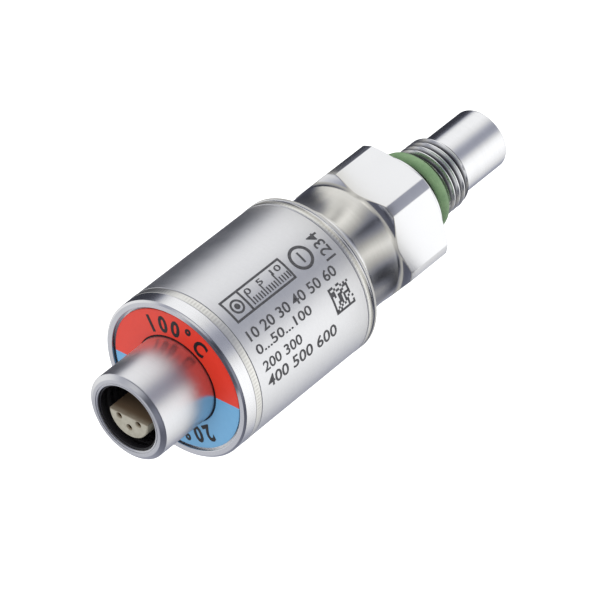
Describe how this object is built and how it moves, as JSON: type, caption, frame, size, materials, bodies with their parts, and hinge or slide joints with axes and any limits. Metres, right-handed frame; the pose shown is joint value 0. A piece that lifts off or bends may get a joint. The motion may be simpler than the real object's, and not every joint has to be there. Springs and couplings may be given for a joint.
{
  "type": "pressure transmitter",
  "caption": "Stainless pressure and temperature transmitter: hexagon fitting with a threaded stud and smooth probe, round welded housing with a two-colour ring label, and a round plug socket.",
  "frame": {"origin": "on the stud's thread axis, half way along the M10 x 1 thread", "axes": "+Z along the axis, from the stud towards the plug socket; X along the flat of the socket's half-round insert; +Y towards the red half of the ring label"},
  "size_m": [0.022, 0.022, 0.0698],
  "materials": {
    "turned_steel": "turned and milled stainless steel",
    "satin_steel": "satin drawn stainless steel tube",
    "bright_steel": "finely turned stainless steel",
    "nickel_plate": "matt nickel plated barrel",
    "seal_green": "green fluoro rubber",
    "seal_black": "black rubber",
    "label_print": "printed film, one half red and one half light blue",
    "liner_black": "black moulded plastic",
    "insert_beige": "beige moulded high-temperature plastic",
    "contact_gold": "gold plated contacts and pins",
    "nut_brass": "nickel plated brass",
    "cell_steel": "ground hard stainless steel",
    "film_ceramic": "fired resistor film",
    "bond_gold": "gold wire",
    "element_ceramic": "alumina chip",
    "lead_wire": "silvered wire",
    "board_green": "glass epoxy board with solder mask",
    "strip_black": "black moulded strip",
    "chip_black": "black moulded package",
    "capacitor_body": "fired ceramic block",
    "resistor_body": "fired ceramic body"
  },
  "bodies": {
    "root": {"process_fitting": "turned_steel", "process_o_ring": "seal_green", "housing_tube": "satin_steel", "front_cap": "bright_steel", "ring_label": "label_print", "socket_shell": "nickel_plate", "socket_gasket": "seal_black", "socket_nut": "nut_brass", "socket_liner": "liner_black", "contact_insert": "insert_beige", "socket_contacts": "contact_gold", "pin_contacts": "contact_gold", "pressure_cell": "cell_steel", "gauge_film": "film_ceramic", "bond_wires": "bond_gold", "temperature_element": "element_ceramic", "temperature_leads": "lead_wire", "cell_board": "board_green", "amplifier_board": "board_green", "output_board": "board_green", "lower_standoffs": "nut_brass", "middle_standoffs": "nut_brass", "upper_standoffs": "nut_brass", "stacking_pins": "contact_gold", "lower_pin_strip": "strip_black", "upper_pin_strip": "strip_black", "amplifier_chip": "chip_black", "output_driver": "chip_black", "capacitors": "capacitor_body", "resistors": "resistor_body"}
  },
  "joints": []
}
